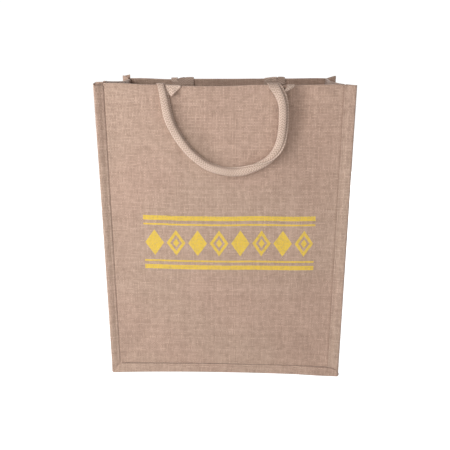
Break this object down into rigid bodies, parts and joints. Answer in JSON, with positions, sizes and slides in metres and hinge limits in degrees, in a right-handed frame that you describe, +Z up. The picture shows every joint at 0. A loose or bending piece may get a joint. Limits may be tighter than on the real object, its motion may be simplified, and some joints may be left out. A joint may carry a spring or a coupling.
{
  "type": "jute tote bag",
  "caption": "Standing open-topped jute shopping bag with a gusset strip for sides and base, tape-bound seams, a hemmed rim and short rope handles hanging at front and back.",
  "frame": {"origin": "middle of the base, on the surface that the bag stands on", "axes": "+Z up, +X to the right of someone facing the front, which faces -Y"},
  "size_m": [0.362, 0.2226, 0.4541],
  "materials": {
    "jute_cloth": "coarse natural plain weave, matt, with slubs and flecks",
    "jute_tape": "folded jute edge tape, matt, lockstitched along its inner edge",
    "cotton_rope": "pale herringbone cotton tape sewn round a soft core"
  },
  "bodies": {
    "root": {"front_panel": "jute_cloth", "back_panel": "jute_cloth", "gusset": "jute_cloth", "front_binding": "jute_tape", "back_binding": "jute_tape", "front_handle": "cotton_rope", "back_handle": "cotton_rope"}
  },
  "joints": []
}
